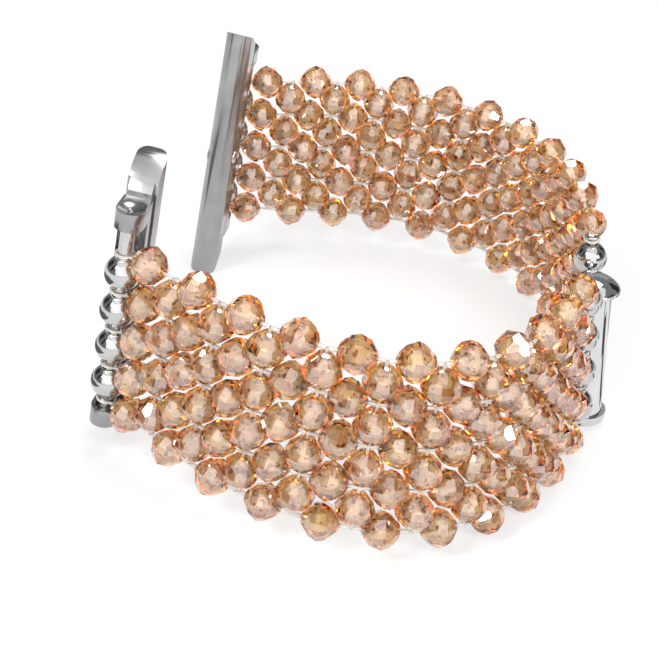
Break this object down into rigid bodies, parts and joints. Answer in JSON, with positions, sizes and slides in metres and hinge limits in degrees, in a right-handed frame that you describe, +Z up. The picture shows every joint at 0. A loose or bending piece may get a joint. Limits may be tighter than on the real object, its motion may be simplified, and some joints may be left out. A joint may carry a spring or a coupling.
{
  "type": "woven watch strap",
  "caption": "Watch strap woven from faceted crystal beads on thread, with a slide tube clasp and a watch adapter at each end.",
  "frame": {"origin": "middle of the box round the strap, on the surface that it stands on, in metres", "axes": "+X from the watch side to the clasp, +Z up along the strap's width, Y across the wrist, the XZ plane mirrors one half onto the other"},
  "size_m": [0.0549, 0.0728, 0.0331],
  "materials": {
    "crystal": "faceted crystal with a golden half-mirror coating",
    "thread": "clear nylon thread",
    "polished_silver": "mirror polished",
    "adapter_steel": "satin with polished edges",
    "spring_steel": "plain spring steel"
  },
  "bodies": {
    "front_link_1": {"front_crystals_1": "crystal", "front_thread_1": "thread"},
    "front_link_2": {"front_crystals_2": "crystal", "front_thread_2": "thread"},
    "front_link_3": {"front_crystals_3": "crystal", "front_thread_3": "thread"},
    "front_link_4": {"front_crystals_4": "crystal", "front_thread_4": "thread"},
    "front_link_5": {"front_crystals_5": "crystal", "front_thread_5": "thread"},
    "front_link_6": {"front_crystals_6": "crystal", "front_thread_6": "thread"},
    "front_link_7": {"front_crystals_7": "crystal", "front_thread_7": "thread"},
    "front_link_8": {"front_crystals_8": "crystal", "front_thread_8": "thread"},
    "front_link_9": {"front_crystals_9": "crystal", "front_thread_9": "thread"},
    "front_link_10": {"front_crystals_10": "crystal", "front_thread_10": "thread"},
    "front_link_11": {"front_crystals_11": "crystal", "front_thread_11": "thread"},
    "back_link_1": {"back_crystals_1": "crystal", "back_thread_1": "thread"},
    "back_link_2": {"back_crystals_2": "crystal", "back_thread_2": "thread"},
    "back_link_3": {"back_crystals_3": "crystal", "back_thread_3": "thread"},
    "back_link_4": {"back_crystals_4": "crystal", "back_thread_4": "thread"},
    "back_link_5": {"back_crystals_5": "crystal", "back_thread_5": "thread"},
    "back_link_6": {"back_crystals_6": "crystal", "back_thread_6": "thread"},
    "back_link_7": {"back_crystals_7": "crystal", "back_thread_7": "thread"},
    "back_link_8": {"back_crystals_8": "crystal", "back_thread_8": "thread"},
    "back_link_9": {"back_crystals_9": "crystal", "back_thread_9": "thread"},
    "back_link_10": {"back_crystals_10": "crystal", "back_thread_10": "thread"},
    "back_link_11": {"back_crystals_11": "crystal", "back_thread_11": "thread"},
    "front_adapter": {"front_slider": "adapter_steel", "front_slider_rod": "polished_silver", "front_slider_balls": "polished_silver", "front_catch_spring": "spring_steel"},
    "front_catch": {"front_catch_button": "polished_silver"},
    "back_adapter": {"back_slider": "adapter_steel", "back_slider_rod": "polished_silver", "back_slider_balls": "polished_silver", "back_catch_spring": "spring_steel"},
    "back_catch": {"back_catch_button": "polished_silver"},
    "sleeve": {"clasp_sleeve": "polished_silver", "back_clasp_rod": "polished_silver", "back_clasp_balls": "polished_silver"},
    "core": {"clasp_core": "polished_silver", "front_clasp_rod": "polished_silver", "front_clasp_balls": "polished_silver"}
  },
  "joints": [
    {"name": "front_bend_11", "type": "hinge", "parent": "core", "child": "front_link_11", "pos_m": [0.02303, -0.00527, 0.01144], "axis": [-0.0992, 0, 0.9951], "range_deg": [-19, 31]},
    {"name": "front_bend_10", "type": "hinge", "parent": "front_link_11", "child": "front_link_10", "pos_m": [0.02174, -0.01195, 0.01155], "axis": [-0.0783, 0.0376, 0.9962], "range_deg": [-19.8, 26.2]},
    {"name": "front_bend_9", "type": "hinge", "parent": "front_link_10", "child": "front_link_9", "pos_m": [0.02018, -0.01769, 0.01168], "axis": [-0.0572, 0.0506, 0.9971], "range_deg": [-14.9, 31.1]},
    {"name": "front_bend_8", "type": "hinge", "parent": "front_link_9", "child": "front_link_8", "pos_m": [0.01774, -0.02311, 0.01188], "axis": [-0.0306, 0.0682, 0.9972], "range_deg": [-10.9, 35.1]},
    {"name": "front_bend_7", "type": "hinge", "parent": "front_link_8", "child": "front_link_7", "pos_m": [0.01414, -0.02783, 0.01218], "axis": [0.0017, 0.0828, 0.9966], "range_deg": [-8.2, 37.8]},
    {"name": "front_bend_6", "type": "hinge", "parent": "front_link_7", "child": "front_link_6", "pos_m": [0.00939, -0.03139, 0.01258], "axis": [0.0363, 0.0879, 0.9955], "range_deg": [-7, 39]},
    {"name": "front_bend_5", "type": "hinge", "parent": "front_link_6", "child": "front_link_5", "pos_m": [0.00381, -0.03341, 0.01305], "axis": [0.0669, 0.0815, 0.9944], "range_deg": [-7.5, 38.5]},
    {"name": "front_bend_4", "type": "hinge", "parent": "front_link_5", "child": "front_link_4", "pos_m": [-0.00211, -0.03375, 0.01355], "axis": [0.0881, 0.0664, 0.9939], "range_deg": [-9.6, 36.4]},
    {"name": "front_bend_3", "type": "hinge", "parent": "front_link_4", "child": "front_link_3", "pos_m": [-0.00793, -0.03262, 0.01404], "axis": [0.0978, 0.0479, 0.9941], "range_deg": [-13.2, 32.8]},
    {"name": "front_bend_2", "type": "hinge", "parent": "front_link_3", "child": "front_link_2", "pos_m": [-0.01343, -0.0304, 0.0145], "axis": [0.0978, 0.0302, 0.9947], "range_deg": [-17.7, 28.3]},
    {"name": "front_bend_1", "type": "hinge", "parent": "front_link_2", "child": "front_link_1", "pos_m": [-0.01866, -0.0276, 0.01494], "axis": [0.0918, 0.0146, 0.9957], "range_deg": [-22.9, 23.1]},
    {"name": "front_adapter_turn", "type": "hinge", "parent": "front_link_1", "child": "front_adapter", "pos_m": [-0.02458, -0.02428, 0.01544], "axis": [0.0838, 0, 0.9965], "range_deg": [-40, 30]},
    {"name": "back_bend_11", "type": "hinge", "parent": "sleeve", "child": "back_link_11", "pos_m": [0.02303, 0.00527, 0.01144], "axis": [-0.0992, 0, 0.9951], "range_deg": [-31, 19]},
    {"name": "back_bend_10", "type": "hinge", "parent": "back_link_11", "child": "back_link_10", "pos_m": [0.02174, 0.01195, 0.01155], "axis": [-0.0783, -0.0376, 0.9962], "range_deg": [-26.2, 19.8]},
    {"name": "back_bend_9", "type": "hinge", "parent": "back_link_10", "child": "back_link_9", "pos_m": [0.02018, 0.01769, 0.01168], "axis": [-0.0572, -0.0506, 0.9971], "range_deg": [-31.1, 14.9]},
    {"name": "back_bend_8", "type": "hinge", "parent": "back_link_9", "child": "back_link_8", "pos_m": [0.01774, 0.02311, 0.01188], "axis": [-0.0306, -0.0682, 0.9972], "range_deg": [-35.1, 10.9]},
    {"name": "back_bend_7", "type": "hinge", "parent": "back_link_8", "child": "back_link_7", "pos_m": [0.01414, 0.02783, 0.01218], "axis": [0.0017, -0.0828, 0.9966], "range_deg": [-37.8, 8.2]},
    {"name": "back_bend_6", "type": "hinge", "parent": "back_link_7", "child": "back_link_6", "pos_m": [0.00939, 0.03139, 0.01258], "axis": [0.0363, -0.0879, 0.9955], "range_deg": [-39, 7]},
    {"name": "back_bend_5", "type": "hinge", "parent": "back_link_6", "child": "back_link_5", "pos_m": [0.00381, 0.03341, 0.01305], "axis": [0.0669, -0.0815, 0.9944], "range_deg": [-38.5, 7.5]},
    {"name": "back_bend_4", "type": "hinge", "parent": "back_link_5", "child": "back_link_4", "pos_m": [-0.00211, 0.03375, 0.01355], "axis": [0.0881, -0.0664, 0.9939], "range_deg": [-36.4, 9.6]},
    {"name": "back_bend_3", "type": "hinge", "parent": "back_link_4", "child": "back_link_3", "pos_m": [-0.00793, 0.03262, 0.01404], "axis": [0.0978, -0.0479, 0.9941], "range_deg": [-32.8, 13.2]},
    {"name": "back_bend_2", "type": "hinge", "parent": "back_link_3", "child": "back_link_2", "pos_m": [-0.01343, 0.0304, 0.0145], "axis": [0.0978, -0.0302, 0.9947], "range_deg": [-28.3, 17.7]},
    {"name": "back_bend_1", "type": "hinge", "parent": "back_link_2", "child": "back_link_1", "pos_m": [-0.01866, 0.0276, 0.01494], "axis": [0.0918, -0.0146, 0.9957], "range_deg": [-23.1, 22.9]},
    {"name": "back_adapter_turn", "type": "hinge", "parent": "back_link_1", "child": "back_adapter", "pos_m": [-0.02458, 0.02428, 0.01544], "axis": [0.0838, 0, 0.9965], "range_deg": [-30, 40]},
    {"name": "clasp_slide", "type": "slide", "parent": "sleeve", "child": "core", "axis": [-0.0992, 0, 0.9951], "range_m": [0, 0.0155]},
    {"name": "front_catch_press", "type": "slide", "parent": "front_adapter", "child": "front_catch", "axis": [-0.9965, 0, 0.0838], "range_m": [0, 0.00035], "stiffness_N_per_m": 300},
    {"name": "back_catch_press", "type": "slide", "parent": "back_adapter", "child": "back_catch", "axis": [-0.9965, 0, 0.0838], "range_m": [0, 0.00035], "stiffness_N_per_m": 300}
  ]
}
